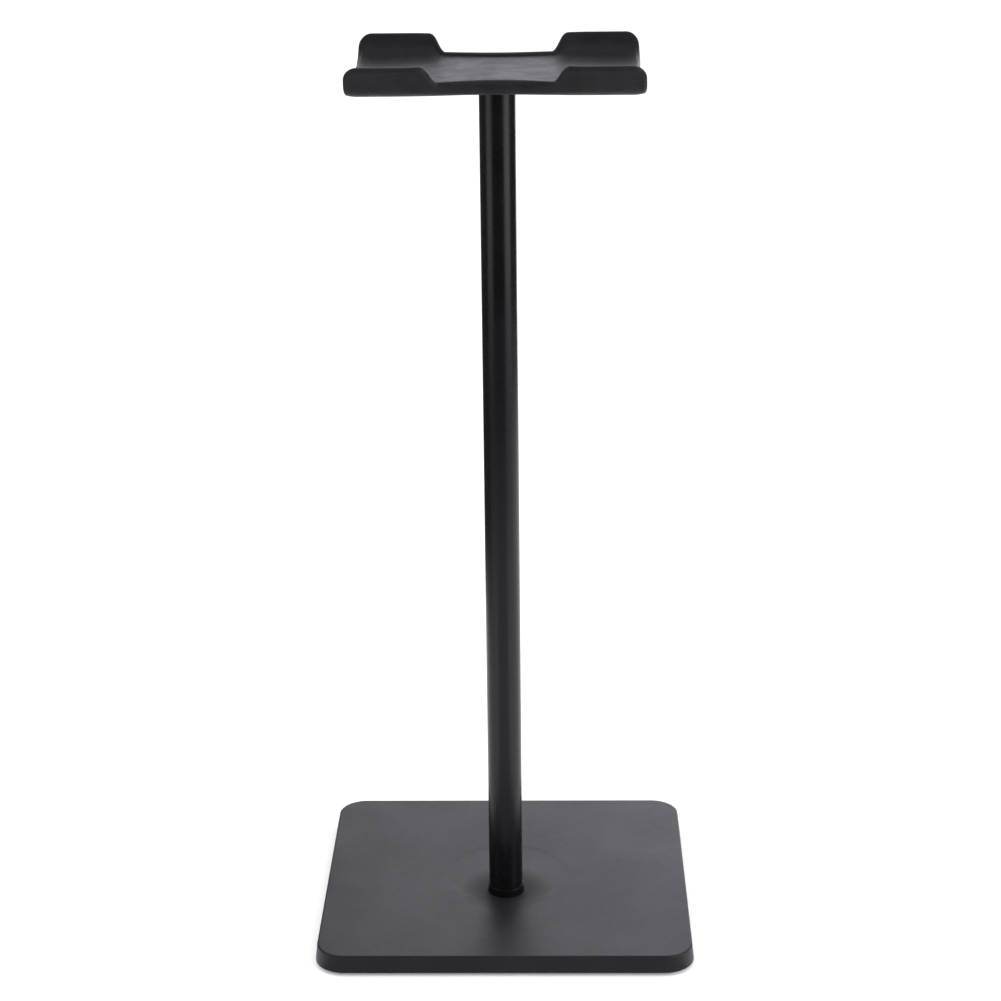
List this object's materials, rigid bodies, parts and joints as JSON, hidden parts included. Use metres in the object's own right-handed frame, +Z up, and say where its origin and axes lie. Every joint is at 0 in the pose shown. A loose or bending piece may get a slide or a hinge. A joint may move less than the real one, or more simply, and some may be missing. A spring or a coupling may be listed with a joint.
{
  "type": "headphone stand",
  "caption": "Free-standing headphone stand: a weighted rectangular base, a slim round pole and a soft trough-shaped cradle with upturned flanges at its corners.",
  "frame": {"origin": "centre of the rectangle that the base covers, at the underside of the foot pads", "axes": "+Z up the pole, +X along the cradle, +Y towards the side away from the pole's offset"},
  "size_m": [0.11, 0.1, 0.2589],
  "materials": {
    "base_plastic": "fine matt moulded texture, dark grey",
    "floor_plastic": "matt black moulded plate",
    "ballast_steel": "zinc-plated sheet steel",
    "screw_steel": "zinc-plated steel",
    "foot_rubber": "matt black rubber",
    "pole_anodised": "satin black anodised with a fine speckle",
    "collar_plastic": "plain black moulded ring",
    "plug_brass": "turned",
    "core_steel": "black painted sheet steel",
    "saddle_rubber": "soft-touch elastomer, matt black"
  },
  "bodies": {
    "root": {"base_cover": "base_plastic", "ballast_plate": "ballast_steel", "base_floor": "floor_plastic", "base_screw_1": "screw_steel", "base_screw_2": "screw_steel", "base_screw_3": "screw_steel", "base_screw_4": "screw_steel", "foot_pad_1": "foot_rubber", "foot_pad_2": "foot_rubber", "foot_pad_3": "foot_rubber", "foot_pad_4": "foot_rubber", "pole_screw": "screw_steel", "pole_washer": "screw_steel", "foot_collar": "collar_plastic", "pole_tube": "pole_anodised", "pole_bottom_plug": "plug_brass", "pole_top_plug": "plug_brass", "cradle_stud": "screw_steel", "cradle_core": "core_steel", "cradle_saddle": "saddle_rubber"}
  },
  "joints": []
}
